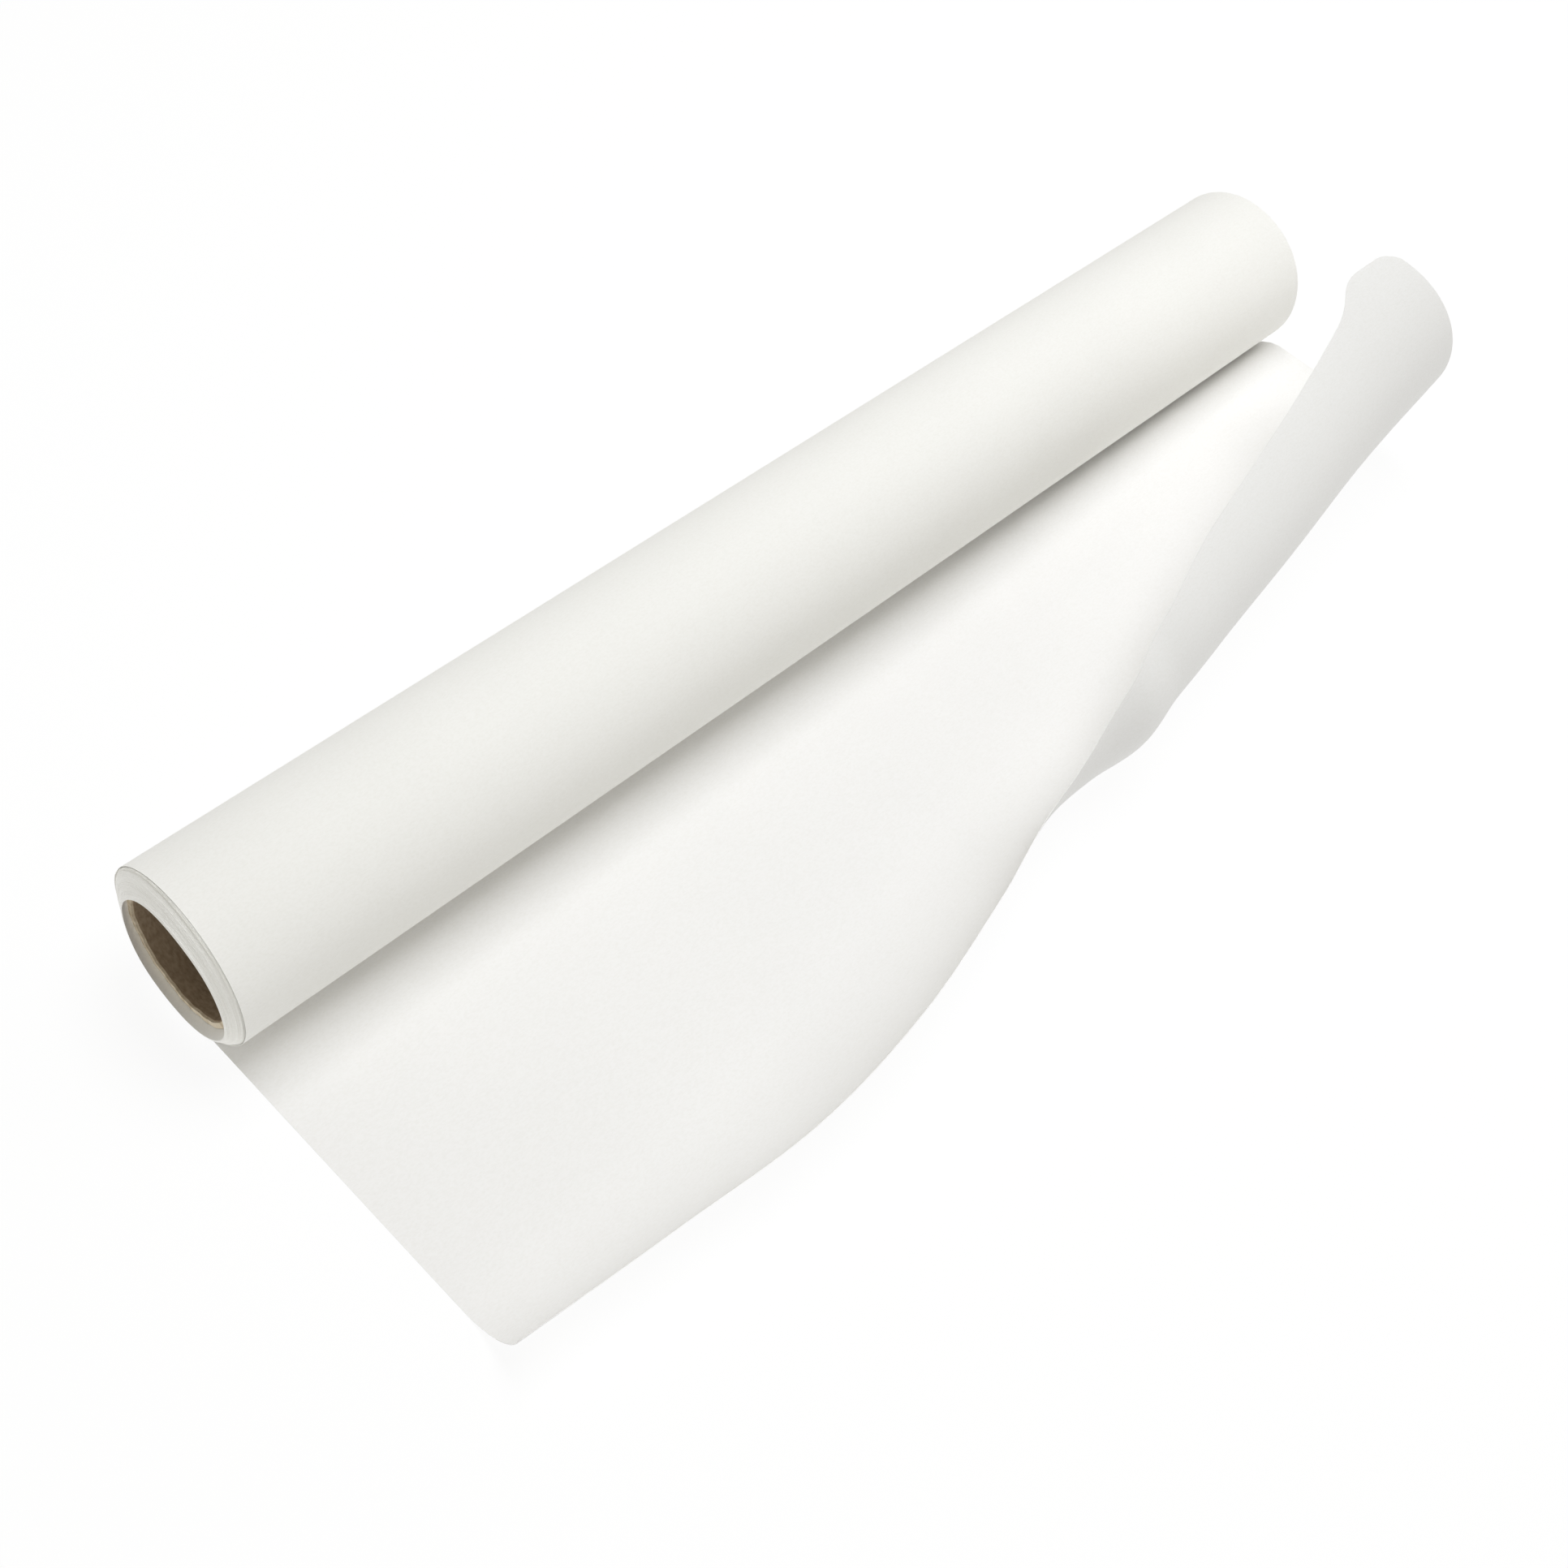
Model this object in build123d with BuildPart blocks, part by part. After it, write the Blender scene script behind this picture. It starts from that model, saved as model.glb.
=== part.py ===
from build123d import *
import math
import os

# A roll of seamless background paper on a cardboard core, lying on a floor, with its sheet drawn out
# from under the roll towards -Y and the sheet's free end curled up.
# Frame: origin on the core's axis at mid-width, +X along the core, +Y to the back, +Z up.

# Driving dimensions, in millimetres
WIDTH = 660.0              # the paper's width, 26 in, and the core's length
CORE_BORE_R = 28.575       # a 2 1/4 in bore
LINER_PLY = 0.5            # the bore's kraft liner
OUTER_PLY = 0.4            # the core's outer wrap
CORE_R = 31.75             # outside of the core, 2 1/2 in
TAPE_THICKNESS = 0.2
TAPE_WIDTH = 25.0
TAPE_LENGTH = 640.0
INNER_TURNS_R = 34.0       # outside of the turns that stand out of the left end
MIDDLE_TURNS_R = 36.6      # outside of the turns that step back from them
ROLL_R = 40.5              # outside of the loose outermost turn
LOOSE_TURN = 0.5           # the outermost turn and the air wound in with it
TURN_GAP = 0.3             # between the loose turn and the turns inside it
INNER_SHIFT = 4.5          # how far the inner turns have crept out to the left
MIDDLE_SHIFT = 1.5
SHEET = 0.5                # thickness of the sheet's solids
SEAM = 0.6                 # between the two solids of the sheet
SURFACE_TOLERANCE = 0.1

# The drawn sheet. Distances along it are measured from the line where it leaves the roll.
# Each list has one value for each station, and the stations are shares of the width from the left.
STATION = (0.0, 0.106, 0.212, 0.318, 0.409, 0.485, 0.53, 0.576, 0.621, 0.682, 0.773, 0.879, 1.0)
# where the sheet starts to curl up
FOLD_AT = (166.2, 166.9, 163.4, 149.7, 136.6, 128.4, 130.2, 132.3, 124.8, 117.1, 106.0, 89.0, 70.8)
# the radius that it curls to
CURL_R = (32.1, 38.6, 48.6, 54.2, 51.0, 44.5, 41.1, 41.5, 42.2, 43.0, 44.0, 48.5, 57.4)
# and the cut end's distance
CUT_AT = (210.1, 215.4, 223.2, 218.5, 207.0, 200.1, 214.6, 232.1, 232.2, 233.9, 232.4, 232.0, 244.6)
CORNER_AT = 0.962          # the right free corner is rounded, and stands out a little beside it
CORNER_SPREAD = 0.022
CORNER_OUT = 7.0
SLOPE_STEP = 0.068         # half of the share of the width that the curl's direction is taken over
SHEET_START = 10.5         # the first solid stands clear of the roll
TRAVEL_END = 60.0          # the stretch up to here shortens and lengthens as the roll travels
LIFT = 14.2                # the big curl holds the right side edge off the floor
LIFT_FROM = 0.4545         # share of the width where the lift begins
LIFT_RUN = 31.0            # the distance that the sheet needs to rise

os.makedirs("parts", exist_ok=True)


def across(values, u):
    """A smooth curve through the values at the stations, at a share u of the width."""
    last = len(STATION) - 1
    u = min(max(u, 0.0), 1.0)
    slopes = []
    for k in range(last + 1):
        if 0 < k < last:
            h0, h1 = STATION[k] - STATION[k - 1], STATION[k + 1] - STATION[k]
            d0, d1 = (values[k] - values[k - 1]) / h0, (values[k + 1] - values[k]) / h1
            slopes.append((d0 * h1 + d1 * h0) / (h0 + h1))
        else:
            j = min(k, last - 1)
            slopes.append((values[j + 1] - values[j]) / (STATION[j + 1] - STATION[j]))
    k = max(j for j in range(last) if STATION[j] <= u)
    h = STATION[k + 1] - STATION[k]
    t = (u - STATION[k]) / h
    return (values[k] * (1 + 2 * t) * (1 - t) ** 2 + h * slopes[k] * t * (1 - t) ** 2
            + values[k + 1] * t * t * (3 - 2 * t) - h * slopes[k + 1] * t * t * (1 - t))


def ease(t):
    """Rises smoothly from 0 to 1."""
    t = min(max(t, 0.0), 1.0)
    return t * t * (3 - 2 * t)


def cut_at(u):
    """How far the cut end is from the roll, at a share u of the width."""
    return across(CUT_AT, u) + CORNER_OUT * math.exp(-((u - CORNER_AT) / CORNER_SPREAD) ** 2)


def sheet_point(u, v):
    """The sheet's underside at a share u of the width and a distance v from the roll."""
    fold, radius = across(FOLD_AT, u), across(CURL_R, u)
    before, after = max(u - SLOPE_STEP, 0.0), min(u + SLOPE_STEP, 1.0)
    slope = (across(FOLD_AT, before) - across(FOLD_AT, after)) / ((after - before) * WIDTH)
    skew = math.atan(slope)                       # the curl's axis turns this much from X
    past = max(v - fold, 0.0)
    turn = past * math.cos(skew) / radius         # how far the sheet has curled, in radians
    back = -past * math.sin(skew)                 # shift along the curl's axis
    out = radius * math.sin(turn)
    lift = LIFT * ease((u - LIFT_FROM) / (1 - LIFT_FROM)) * ease((v - SHEET_START) / LIFT_RUN)
    return Vector((u - 0.5) * WIDTH + back * math.cos(skew) + out * math.sin(skew),
                  -min(v, fold) + back * math.sin(skew) - out * math.cos(skew),
                  -ROLL_R + radius * (1 - math.cos(turn)) + lift)


def sheet_face(v_from, v_to, rows, columns):
    """The sheet's underside between two distances, each a function of the share of the width."""
    grid = []
    for i in range(columns + 1):
        u = i / columns
        start, end = v_from(u), v_to(u)
        grid.append([sheet_point(u, start + (end - start) * j / rows) for j in range(rows + 1)])
    return Face.make_surface_from_array_of_points(grid, tol=SURFACE_TOLERANCE)


def ring(inner, outer):
    """The section of a round tube, drawn in the sketch that calls it."""
    Circle(outer)
    Circle(inner, mode=Mode.SUBTRACT)


HALF = WIDTH / 2
LINER_R = CORE_BORE_R + LINER_PLY
PLIES_R = CORE_R - OUTER_PLY
PAPER_START_R = CORE_R + TAPE_THICKNESS
OUTER_TURNS_R = ROLL_R - LOOSE_TURN - TURN_GAP

# The core: a spiral-wound cardboard tube, by its plies
with BuildPart() as core_liner_ply:
    with BuildSketch(Plane.YZ.offset(-HALF)):
        ring(CORE_BORE_R, LINER_R)
    extrude(amount=WIDTH)

with BuildPart() as core_body_plies:
    with BuildSketch(Plane.YZ.offset(-HALF)):
        ring(LINER_R, PLIES_R)
    extrude(amount=WIDTH)

with BuildPart() as core_outer_ply:
    with BuildSketch(Plane.YZ.offset(-HALF)):
        ring(PLIES_R, CORE_R)
    extrude(amount=WIDTH)

# The tape that holds the paper's start on the core: a short arc, seen along the axis
with BuildPart() as start_tape:
    with BuildSketch(Plane.YZ.offset(-TAPE_LENGTH / 2)):
        ring(CORE_R, PAPER_START_R)
        with Locations((0, CORE_R)):
            Rectangle(TAPE_WIDTH, CORE_R, mode=Mode.INTERSECT)
    extrude(amount=TAPE_LENGTH)

# The wound paper, in groups of turns. The inner groups have crept to the left, so they stand out
# there and are as far inside at the right.
with BuildPart() as inner_turns:
    with BuildSketch(Plane.YZ.offset(-HALF - INNER_SHIFT)):
        ring(PAPER_START_R, INNER_TURNS_R)
    extrude(amount=WIDTH)

with BuildPart() as middle_turns:
    with BuildSketch(Plane.YZ.offset(-HALF - MIDDLE_SHIFT)):
        ring(INNER_TURNS_R, MIDDLE_TURNS_R)
    extrude(amount=WIDTH)

with BuildPart() as outer_turns:
    with BuildSketch(Plane.YZ.offset(-HALF)):
        ring(MIDDLE_TURNS_R, OUTER_TURNS_R)
    extrude(amount=WIDTH)

with BuildPart() as loose_turn:
    with BuildSketch(Plane.YZ.offset(-HALF)):
        ring(ROLL_R - LOOSE_TURN, ROLL_R)
    extrude(amount=WIDTH)

# The drawn sheet next to the roll, which shortens as the roll travels towards the curl
with BuildPart() as drawn_sheet:
    thicken(sheet_face(lambda u: SHEET_START, lambda u: TRAVEL_END - SEAM, 10, 20), amount=-SHEET)

# The rest of the sheet, with its curled free end
with BuildPart() as curled_end:
    thicken(sheet_face(lambda u: TRAVEL_END, cut_at, 20, 44), amount=-SHEET)

pieces = {
    "core_liner_ply": core_liner_ply,
    "core_body_plies": core_body_plies,
    "core_outer_ply": core_outer_ply,
    "start_tape": start_tape,
    "inner_turns": inner_turns,
    "middle_turns": middle_turns,
    "outer_turns": outer_turns,
    "loose_turn": loose_turn,
    "drawn_sheet": drawn_sheet,
    "curled_end": curled_end,
}
for name, piece in pieces.items():
    piece.part.label = name
    export_step(piece.part, f"parts/{name}.step")
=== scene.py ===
import math

import bpy
import numpy as np
from mathutils import Matrix, Vector


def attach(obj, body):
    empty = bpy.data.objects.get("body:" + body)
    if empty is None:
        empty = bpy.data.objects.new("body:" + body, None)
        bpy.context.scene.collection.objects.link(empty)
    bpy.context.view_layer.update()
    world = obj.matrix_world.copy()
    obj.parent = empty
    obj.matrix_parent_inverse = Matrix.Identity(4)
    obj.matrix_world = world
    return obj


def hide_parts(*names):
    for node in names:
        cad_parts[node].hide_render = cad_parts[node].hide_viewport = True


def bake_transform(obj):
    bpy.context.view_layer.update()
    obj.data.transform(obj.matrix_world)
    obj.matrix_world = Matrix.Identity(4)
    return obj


# A roll of seamless background paper on a cardboard core, its sheet drawn out from under the roll
# towards -Y, with the free end curled up. Metres. +X along the core, +Z up.

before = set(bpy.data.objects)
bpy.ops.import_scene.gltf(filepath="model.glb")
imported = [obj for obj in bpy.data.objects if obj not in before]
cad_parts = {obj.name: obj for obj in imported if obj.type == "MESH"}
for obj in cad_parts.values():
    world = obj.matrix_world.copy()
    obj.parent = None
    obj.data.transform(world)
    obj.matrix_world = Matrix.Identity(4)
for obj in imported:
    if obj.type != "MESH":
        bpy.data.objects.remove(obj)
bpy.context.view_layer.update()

WIDTH = 0.66
HALF = WIDTH / 2
ROLL_R = 0.0405
BORE_R = 0.028575
LINER_R = 0.029075
CORE_R = 0.03175
INNER_TURNS_START_R = 0.03182
INNER_TURNS_R = 0.0340
MIDDLE_TURNS_R = 0.0366
OUTER_TURNS_R = 0.04026
PAPER = 0.00025            # thickness that the single sheet is drawn with
OUTERMOST_WALL = 0.0002    # thickness that the outermost turn is drawn with
SPIRAL_DROP = 0.0001       # how much nearer to the axis the outermost turn comes in one turn
TURN = 0.0003              # radial pitch of the ridges on the wound ends
TURN_UNEVENNESS = 0.00006  # spread of the turns' small steps at the ends
TAPE_HALF_LENGTH = 0.32
TAPE_HALF_ANGLE = 0.39
TAPE_THICKNESS = 0.00008
SEGMENTS = 160             # facets round the core and the wound turns
SMOOTH_ANGLE = 35.0        # degrees: a sharper angle between faces is shown as an edge
FLOOR_Z = -ROLL_R
FLOOR_HALF = 6.0
FLOOR_GAP = 0.0002         # the floor is drawn this far below the sheet

# The curl: stations across the paper's width, and at each the length of sheet that lies flat, the
# radius that it curls to, and the sheet's length from under the roll to its cut edge.
STATION = (0.0, 0.106, 0.212, 0.318, 0.409, 0.485, 0.53, 0.576, 0.621, 0.682, 0.773, 0.879, 1.0)
FOLD_AT = (0.1662, 0.1669, 0.1634, 0.1497, 0.1366, 0.1284, 0.1302, 0.1323, 0.1248, 0.1171, 0.1060,
           0.0890, 0.0708)
CURL_R = (0.0321, 0.0386, 0.0486, 0.0542, 0.0510, 0.0445, 0.0411, 0.0415, 0.0422, 0.0430, 0.0440,
          0.0485, 0.0574)
SHEET_LENGTH = (0.2101, 0.2154, 0.2232, 0.2185, 0.2070, 0.2001, 0.2146, 0.2321, 0.2322, 0.2339, 0.2324,
                0.2320, 0.2446)
SHEET_START = 0.0105       # the sheet begins to rise this far in front of the line under the roll
LIFT = 0.0142              # the big curl holds the right side edge off the floor
LIFT_FROM = 0.4545         # share of the width where the lift begins
LIFT_RUN = 0.031           # the distance that the sheet needs to rise
SLOPE_STEP = 0.068         # half of the share of the width that the curl's direction is taken over
CORNER_AT = 0.962          # the cut edge stands out a little beside the far free corner
CORNER_SPREAD = 0.022
CORNER_OUT = 0.007
CORNER_FROM = 0.984        # and the corner itself is rounded from here
CORNER_CUT = 0.009

rng = np.random.default_rng(12)


def across(values, u):
    """A smooth curve through the values at the stations."""
    x = np.array(STATION)
    y = np.array(values)
    h = np.diff(x)
    d = np.diff(y) / h
    slope = np.empty_like(y)
    slope[0] = d[0]
    slope[-1] = d[-1]
    slope[1:-1] = (d[:-1] * h[1:] + d[1:] * h[:-1]) / (h[1:] + h[:-1])
    u = np.clip(u, 0.0, 1.0)
    i = np.clip(np.searchsorted(x, u, side="right") - 1, 0, len(h) - 1)
    t = (u - x[i]) / h[i]
    rise = y[i] * (1 + 2 * t) * (1 - t) ** 2 + y[i + 1] * t * t * (3 - 2 * t)
    return rise + h[i] * (slope[i] * t * (1 - t) ** 2 + slope[i + 1] * t * t * (t - 1))


def length_at(u):
    """The sheet's length from under the roll to its cut edge."""
    bulge = CORNER_OUT * np.exp(-((u - CORNER_AT) / CORNER_SPREAD) ** 2)
    rounding = CORNER_CUT * np.clip((u - CORNER_FROM) / (1 - CORNER_FROM), 0.0, 1.0) ** 3
    return across(SHEET_LENGTH, u) + bulge - rounding


def ease(t):
    """A smooth step from 0 to 1."""
    t = np.clip(t, 0.0, 1.0)
    return t * t * (3 - 2 * t)


def sheet_points(u, v):
    """Where the sheet's underside is: u across the width from 0 to 1, v along it from under the roll."""
    fold = across(FOLD_AT, u)
    radius = across(CURL_R, u)
    before = np.maximum(u - SLOPE_STEP, 0.0)
    after = np.minimum(u + SLOPE_STEP, 1.0)
    slope = (across(FOLD_AT, before) - across(FOLD_AT, after)) / ((after - before) * WIDTH)
    skew = np.arctan(slope)
    past = np.maximum(v - fold, 0.0)
    turn = past * np.cos(skew) / radius
    back = -past * np.sin(skew)
    out = radius * np.sin(turn)
    lift = LIFT * ease((u - LIFT_FROM) / (1 - LIFT_FROM)) * ease((v - SHEET_START) / LIFT_RUN)
    x = (u - 0.5) * WIDTH + back * np.cos(skew) + out * np.sin(skew)
    y = -np.minimum(v, fold) + back * np.sin(skew) - out * np.cos(skew)
    z = FLOOR_Z + radius * (1 - np.cos(turn)) + lift
    return np.stack([x, y, z], -1)


def mesh_object(name, verts, faces, uv):
    """A new object with smooth faces and the flat coordinates uv at its points."""
    mesh = bpy.data.meshes.new(name)
    mesh.from_pydata(np.asarray(verts, float).tolist(), [], faces)
    mesh.validate()
    mesh.polygons.foreach_set("use_smooth", [True] * len(mesh.polygons))
    layer = mesh.uv_layers.new(name="flat")
    index = np.empty(len(mesh.loops), int)
    mesh.loops.foreach_get("vertex_index", index)
    layer.data.foreach_set("uv", np.asarray(uv, float)[index].ravel())
    mesh.update()
    obj = bpy.data.objects.new(name, mesh)
    bpy.context.scene.collection.objects.link(obj)
    mesh.set_sharp_from_angle(angle=math.radians(SMOOTH_ANGLE))
    return obj


def grid_faces(rows, columns, start, flip=False):
    """The quads of a grid whose points begin at index start."""
    faces = []
    for i in range(rows - 1):
        for j in range(columns - 1):
            quad = (start + i * columns + j, start + i * columns + j + 1,
                    start + (i + 1) * columns + j + 1, start + (i + 1) * columns + j)
            faces.append(quad[::-1] if flip else quad)
    return faces


def slab(name, outer, thickness, uv):
    """A thin closed sheet: outer is a grid of points, and the other side is moved along the normals."""
    rows, columns, _ = outer.shape
    du = np.gradient(outer, axis=0)
    dv = np.gradient(outer, axis=1)
    normal = np.cross(du, dv)
    normal /= np.linalg.norm(normal, axis=-1, keepdims=True)
    inner = outer + normal * thickness
    count = rows * columns
    verts = np.concatenate([outer.reshape(-1, 3), inner.reshape(-1, 3)])
    faces = grid_faces(rows, columns, 0, flip=True) + grid_faces(rows, columns, count)
    ring = [i * columns for i in range(rows)]
    ring += [(rows - 1) * columns + j for j in range(1, columns)]
    ring += [i * columns + columns - 1 for i in range(rows - 2, -1, -1)]
    ring += list(range(columns - 2, 0, -1))
    for n, a in enumerate(ring):
        b = ring[(n + 1) % len(ring)]
        faces.append((a, a + count, b + count, b))
    both = np.concatenate([uv.reshape(-1, 2), uv.reshape(-1, 2)])
    return mesh_object(name, verts, faces, both)


def lathe(name, profile, wobble):
    """A closed profile of (x, radius) turned about the core's axis. wobble shifts the points."""
    rows = len(profile)
    angle = np.arange(SEGMENTS) * 2 * math.pi / SEGMENTS
    x = np.repeat(profile[:, :1], SEGMENTS, 1)
    y = profile[:, 1:] * np.cos(angle)
    z = profile[:, 1:] * np.sin(angle)
    points = wobble(np.stack([x, y, z], -1), angle)
    faces = []
    for i in range(rows):
        k = (i + 1) % rows
        for j in range(SEGMENTS):
            n = (j + 1) % SEGMENTS
            faces.append((i * SEGMENTS + j, k * SEGMENTS + j, k * SEGMENTS + n, i * SEGMENTS + n))
    uv = np.stack([points[..., 0], np.repeat((angle * ROLL_R)[None, :], rows, 0)], -1)
    return mesh_object(name, points.reshape(-1, 3), faces, uv.reshape(-1, 2))


# Materials

SEAM_SCALE = 3.0


def new_material(name):
    material = bpy.data.materials.new(name)
    material.use_nodes = True
    nodes = material.node_tree.nodes
    shader = nodes.get("Principled BSDF")
    return material, nodes, material.node_tree.links, shader


def noise(nodes, links, coordinates, scale, detail, stretch=(1, 1, 1)):
    mapping = nodes.new("ShaderNodeMapping")
    mapping.inputs["Scale"].default_value = stretch
    links.new(coordinates, mapping.inputs["Vector"])
    texture = nodes.new("ShaderNodeTexNoise")
    texture.inputs["Scale"].default_value = scale
    texture.inputs["Detail"].default_value = detail
    links.new(mapping.outputs["Vector"], texture.inputs["Vector"])
    return texture.outputs["Fac"]


def ramp(nodes, links, factor, stops):
    node = nodes.new("ShaderNodeValToRGB")
    elements = node.color_ramp.elements
    while len(elements) < len(stops):
        elements.new(0.5)
    for element, (place, colour) in zip(elements, stops):
        element.position = place
        element.color = (*colour, 1)
    links.new(factor, node.inputs["Fac"])
    return node.outputs["Color"]


def mixed(nodes, links, first, second, factor, blend="MIX"):
    node = nodes.new("ShaderNodeMix")
    node.data_type = "RGBA"
    node.blend_type = blend
    node.inputs["Factor"].default_value = factor
    links.new(first, node.inputs["A"])
    links.new(second, node.inputs["B"])
    return node.outputs["Result"]


def bump(nodes, links, height, distance, strength, before=None):
    node = nodes.new("ShaderNodeBump")
    node.inputs["Distance"].default_value = distance
    node.inputs["Strength"].default_value = strength
    links.new(height, node.inputs["Height"])
    if before is not None:
        links.new(before, node.inputs["Normal"])
    return node.outputs["Normal"]


def paper_material(name, light, dark):
    """Matt paper: a faint cloud between two whites, and a fine fibre in colour and relief."""
    material, nodes, links, shader = new_material(name)
    coordinates = nodes.new("ShaderNodeTexCoord").outputs["Object"]
    cloud = noise(nodes, links, coordinates, 14.0, 3.0)
    fibre = noise(nodes, links, coordinates, 1400.0, 4.0, (0.5, 1.0, 1.0))
    colour = ramp(nodes, links, cloud, [(0.3, dark), (0.7, light)])
    speck = ramp(nodes, links, fibre, [(0.3, (0.965, 0.963, 0.955)), (0.6, (1, 1, 1))])
    colour = mixed(nodes, links, colour, speck, 1.0, "MULTIPLY")
    links.new(colour, shader.inputs["Base Color"])
    shader.inputs["Roughness"].default_value = 0.72
    shader.inputs["Specular IOR Level"].default_value = 0.28
    normal = bump(nodes, links, fibre, 0.00004, 0.5)
    normal = bump(nodes, links, noise(nodes, links, coordinates, 60.0, 2.0), 0.00012, 0.35, normal)
    links.new(normal, shader.inputs["Normal"])
    return material


def board_material(name, light, dark):
    """Kraft board: a cloud between two browns, a coarse fibre, and the spiral seam of its strip."""
    material, nodes, links, shader = new_material(name)
    coordinates = nodes.new("ShaderNodeTexCoord").outputs["UV"]
    cloud = noise(nodes, links, coordinates, 30.0, 4.0)
    fibre = noise(nodes, links, coordinates, 700.0, 5.0, (1.0, 0.35, 1.0))
    colour = ramp(nodes, links, cloud, [(0.25, dark), (0.75, light)])
    speck = ramp(nodes, links, fibre, [(0.32, (0.72, 0.68, 0.62)), (0.62, (1, 1, 1))])
    colour = mixed(nodes, links, colour, speck, 1.0, "MULTIPLY")
    wave = nodes.new("ShaderNodeTexWave")
    wave.bands_direction = "DIAGONAL"
    wave.wave_profile = "SAW"
    wave.inputs["Scale"].default_value = SEAM_SCALE
    wave.inputs["Distortion"].default_value = 0.0
    links.new(coordinates, wave.inputs["Vector"])
    seam = ramp(nodes, links, wave.outputs["Fac"], [(0.0, (0.5, 0.46, 0.42)), (0.035, (1, 1, 1))])
    colour = mixed(nodes, links, colour, seam, 0.7, "MULTIPLY")
    links.new(colour, shader.inputs["Base Color"])
    shader.inputs["Roughness"].default_value = 0.85
    shader.inputs["Specular IOR Level"].default_value = 0.2
    normal = bump(nodes, links, fibre, 0.00008, 0.6)
    links.new(normal, shader.inputs["Normal"])
    return material


inner_face = paper_material("paper_inner_face", (0.952, 0.946, 0.936), (0.94, 0.934, 0.924))
outer_face = paper_material("paper_outer_face", (0.945, 0.94, 0.912), (0.932, 0.927, 0.898))
# The free end's outer face is the outer face's paper made darker: painted shade on the side of the curl
# that faces down and away from the overhead light.
painted_shade_outer_face = paper_material("paper_outer_face_of_the_free_end_with_painted_shade", (0.872, 0.87, 0.858), (0.857, 0.854, 0.842))
wound = paper_material("wound_paper", (0.955, 0.95, 0.925), (0.93, 0.925, 0.895))
board = board_material("kraft_board", (0.80, 0.715, 0.57), (0.70, 0.61, 0.465))
liner = board_material("kraft_liner", (0.40, 0.31, 0.215), (0.29, 0.215, 0.145))
gummed = paper_material("gummed_tape", (0.62, 0.55, 0.38), (0.55, 0.48, 0.32))


def dress(obj, material, slot, body, *nodes):
    """Gives a piece its material, body (None where it is blended) and the nodes it stands for; slot is not
    used.
    """
    obj.data.materials.clear()
    obj.data.materials.append(material)
    if body:
        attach(obj, body)
    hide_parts(*nodes)
    return obj


# The drawn sheet and its curled end, from the line where it meets the roll to the cut edge.

COLUMNS = 270
ROWS = 150
u = np.concatenate([np.linspace(0.0, 0.975, COLUMNS - 30)[:-1], np.linspace(0.975, 1.0, 31)])
s = np.concatenate([np.linspace(0.0, 0.4, 22)[:-1], np.linspace(0.4, 1.0, ROWS - 21)])
U, S = np.meshgrid(u, s, indexing="ij")
V = S * length_at(U)
underside = sheet_points(U, V)
flat = np.stack([(U - 0.5) * WIDTH, -V], -1)
drawn = slab("drawn_sheet_and_curl", underside, -PAPER, flat)
# The sheet's underside, the outside of the curl, takes the darker paper with painted shade. Its top and
# cut edges take the inner face.
dress(drawn, painted_shade_outer_face, "paper", None, "drawn_sheet", "curled_end")
drawn.data.materials.append(inner_face)
lower = (COLUMNS - 1) * (ROWS - 1)
side = [int(i >= lower) for i in range(len(drawn.data.polygons))]
drawn.data.polygons.foreach_set("material_index", side)
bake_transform(drawn)

# The outermost turn of the web: up the back of the roll, over it, down the front, and in under itself.

TURN_STEPS = 160
theta = np.linspace(0.0, 2 * math.pi * 1.02, TURN_STEPS)
radius = ROLL_R - SPIRAL_DROP * theta / (2 * math.pi)
x = np.linspace(-HALF + 0.0012, HALF, 90)
T, X = np.meshgrid(theta, x, indexing="ij")
Rr = np.repeat(radius[:, None], len(x), 1)
loose = np.stack([X, Rr * np.sin(T), -Rr * np.cos(T)], -1)
turn = slab("outermost_turn", loose, OUTERMOST_WALL, np.stack([X, T * ROLL_R], -1))
dress(turn, outer_face, "paper", "outer_turn", "loose_turn")

# Wound turns: each has its own small step and irregular edge at both ends.


def jut(r):
    """How far the turn of radius r stands out of the left end."""
    return np.interp(r, (0.0318, 0.0330, 0.0345, 0.0365, 0.0380, 0.0392, 0.0405),
                     (0.0045, 0.0041, 0.0029, 0.0019, 0.0011, 0.0, -0.0014))


def end_profile(r_in, r_out):
    """Closed profile of a group of turns, with a ridge for each turn at both ends."""
    count = max(2, int(round((r_out - r_in) / TURN)))
    r = np.linspace(r_in, r_out, count + 1)
    left = []
    right = []
    for a, b in zip(r[:-1], r[1:]):
        out = jut((a + b) / 2) + rng.normal(0.0, TURN_UNEVENNESS)
        for share, drop in ((0.12, 0.0), (0.72, 0.0), (1.0, 0.00014)):
            left.append((-HALF - out + drop, a + (b - a) * share))
            right.append((HALF - out * 0.8 - drop, a + (b - a) * share))
    outside = np.concatenate([[-HALF + 0.0002], np.linspace(-HALF + 0.004, HALF - 0.006, 40)])
    inside = outside[::-1]
    return np.array(left + [(q, r_out) for q in outside] + right[::-1] + [(q, r_in) for q in inside])


def slid(points, angle):
    """The turns that stand out of the left end lean to the front, and no end is quite even."""
    moved = points.copy()
    beyond = np.maximum(-HALF - points[..., 0], 0.0)
    moved[..., 1] -= 0.62 * beyond
    moved[..., 2] -= 0.2 * beyond
    wave = 0.0002 * np.sin(angle * 2 + 0.6) + 0.0001 * np.sin(angle * 5 + 1.9)
    at_end = ease((np.abs(points[..., 0]) - HALF + 0.012) / 0.012)
    moved[..., 0] += at_end * wave[None, :]
    return moved


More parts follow.
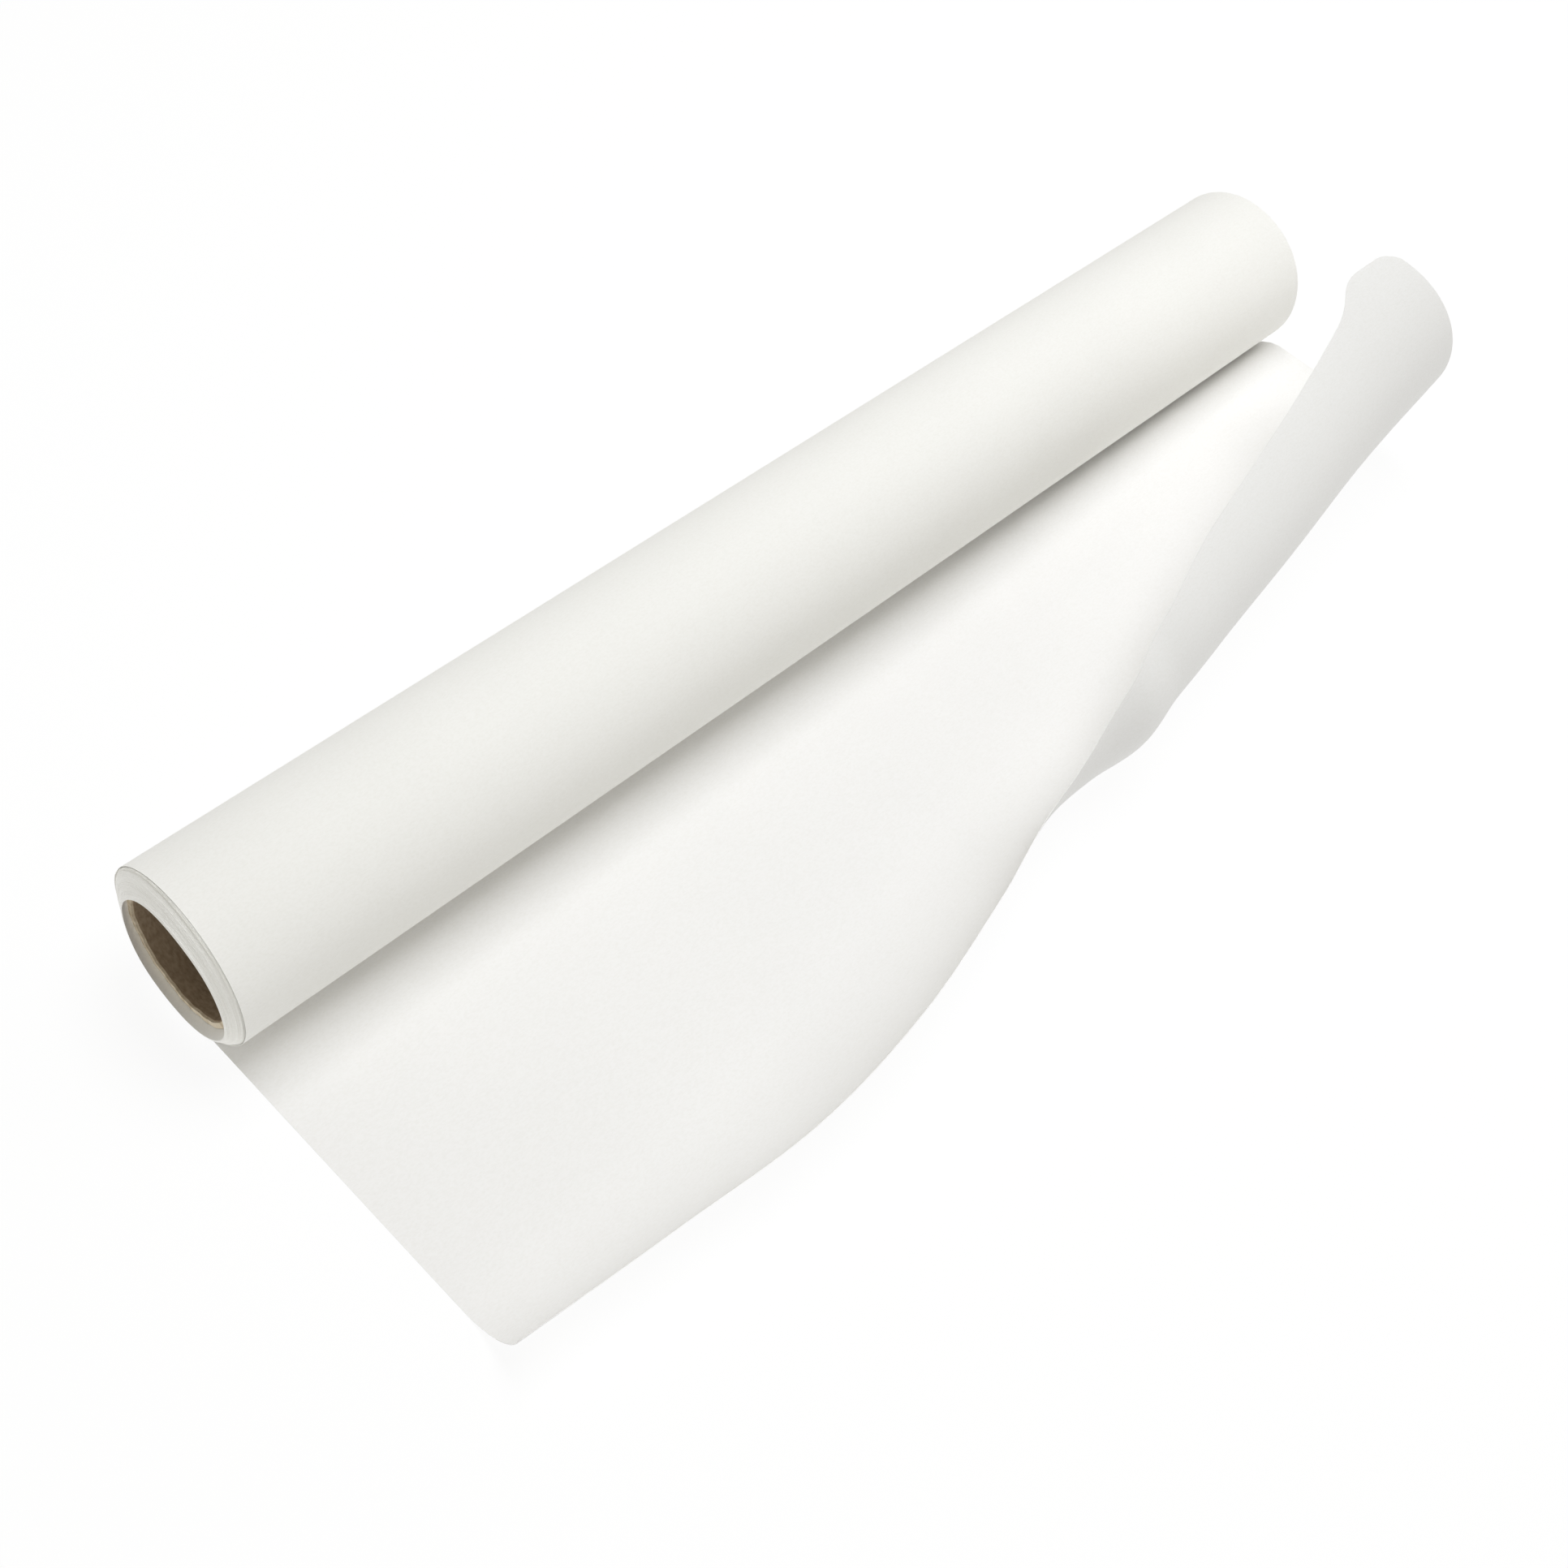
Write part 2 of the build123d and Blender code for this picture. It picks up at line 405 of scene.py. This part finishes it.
inner = lathe("inner_turns_of_paper", end_profile(INNER_TURNS_START_R, INNER_TURNS_R), slid)
dress(inner, wound, "wound_paper", "roll", "inner_turns")
middle = lathe("middle_turns_of_paper", end_profile(INNER_TURNS_R, MIDDLE_TURNS_R), slid)
dress(middle, wound, "wound_paper", "roll", "middle_turns")
outer = lathe("outer_turns_of_paper", end_profile(MIDDLE_TURNS_R, OUTER_TURNS_R), slid)
dress(outer, wound, "wound_paper", "roll", "outer_turns")

# The core: a spirally wound board tube with a darker liner, and a nick in its near edge.


def nick(points, angle):
    """The left edge has a small nick and isn't quite even."""
    moved = points.copy()
    t = np.exp(-((angle - math.radians(25)) / 0.05) ** 2)[None, :]
    at_edge = ease((-points[..., 0] - HALF + 0.004) / 0.004)
    moved[..., 0] += 0.0016 * t * at_edge
    moved[..., 0] += at_edge * (0.00012 * np.sin(angle * 9) + 0.0001 * np.sin(angle * 23 + 1))[None, :]
    return moved


def tube_profile(r_in, r_out, inset):
    """Closed profile of a tube whose ends are inset from the paper's."""
    left = np.linspace(-HALF + inset, -HALF + 0.006, 5)
    middle = np.linspace(-HALF + 0.03, HALF - 0.03, 12)
    right = np.linspace(HALF - 0.006, HALF - inset, 5)
    x = np.concatenate([left, middle, right])
    inside = [(q, r_in) for q in x]
    outside = [(q, r_out) for q in x[::-1]]
    return np.array(inside + outside)[::-1]


core = lathe("core_tube", tube_profile(LINER_R, CORE_R - 0.0001, -0.0004), nick)
dress(core, board, "core_board", "roll", "core_body_plies", "core_outer_ply")
lining = lathe("core_lining", tube_profile(BORE_R, LINER_R - 0.00002, 0.0006), nick)
dress(lining, liner, "liner_board", "roll", "core_liner_ply")

# The strip of tape that holds the paper's start to the core, out of sight under the wound turns.

tape_angle = np.linspace(-TAPE_HALF_ANGLE, TAPE_HALF_ANGLE, 14)
tape_x = np.linspace(-TAPE_HALF_LENGTH, TAPE_HALF_LENGTH, 40)
TA, TX = np.meshgrid(tape_angle, tape_x, indexing="ij")
strip = np.stack([TX, CORE_R * np.sin(TA), CORE_R * np.cos(TA)], -1)
tape = slab("start_tape_strip", strip, TAPE_THICKNESS, np.stack([TX, TA * CORE_R], -1))
dress(tape, gummed, "tape", "roll", "start_tape")

area_flat = WIDTH * float(np.mean(length_at(np.linspace(0.0, 1.0, 400))))

# Stage: a white floor, even white light all round, and a large soft light nearly overhead.

floor_mesh = bpy.data.meshes.new("floor")
corners = ((-1, -1), (1, -1), (1, 1), (-1, 1))
floor_points = [(i * FLOOR_HALF, j * FLOOR_HALF, FLOOR_Z - FLOOR_GAP) for i, j in corners]
floor_mesh.from_pydata(floor_points, [], [(0, 1, 2, 3)])
floor = bpy.data.objects.new("floor", floor_mesh)
bpy.context.scene.collection.objects.link(floor)
white, nodes, links, shader = new_material("white_floor")
shader.inputs["Base Color"].default_value = (0.12, 0.12, 0.12, 1)
shader.inputs["Roughness"].default_value = 0.9
shader.inputs["Specular IOR Level"].default_value = 0.0
shader.inputs["Emission Color"].default_value = (1, 1, 1, 1)
shader.inputs["Emission Strength"].default_value = 0.89
floor_mesh.materials.append(white)

world = bpy.data.worlds.new("white_surround")
bpy.context.scene.world = world
world.use_nodes = True
background = world.node_tree.nodes["Background"]
background.inputs["Color"].default_value = (1.0, 0.98, 0.915, 1)
background.inputs["Strength"].default_value = 0.41


def softbox(name, place, size, power, colour):
    """A soft rectangular light at place that points at the origin."""
    data = bpy.data.lights.new(name, "AREA")
    data.shape = "RECTANGLE"
    data.size = size[0]
    data.size_y = size[1]
    data.energy = power
    data.color = colour
    lamp = bpy.data.objects.new(name, data)
    lamp.location = place
    lamp.rotation_euler = (-lamp.location).to_track_quat("-Z", "Y").to_euler()
    bpy.context.scene.collection.objects.link(lamp)


softbox("overhead_softbox", (0.28, -0.02, 1.7), (1.2, 0.8), 17.7, (0.952, 0.968, 1.0))
softbox("front_fill", (2.2, -0.9, 0.8), (1.6, 1.0), 6.5, (1.0, 0.995, 0.98))
softbox("left_fill", (-1.6, -0.22, 0.32), (0.8, 0.5), 1.8, (1.0, 0.995, 0.97))
softbox("right_fill", (1.5, -0.1, 0.45), (1.0, 0.6), 1.0, (1.0, 0.99, 0.97))

camera_data = bpy.data.cameras.new("camera")
camera_data.lens = 50.72
camera_data.sensor_width = 36.0
camera = bpy.data.objects.new("camera", camera_data)
right = Vector((0.70557, -0.70012, 0.10956)).normalized()
back = Vector((-0.48962, -0.36987, 0.78960)).normalized()
up = back.cross(right)
turned = Matrix((right, up, back)).transposed().to_4x4()
camera.matrix_world = Matrix.Translation((-0.5439, -0.4303, 0.7265)) @ turned
bpy.context.scene.collection.objects.link(camera)
bpy.context.scene.camera = camera
bpy.context.scene.view_settings.view_transform = "Standard"
bpy.context.scene.view_settings.look = "None"
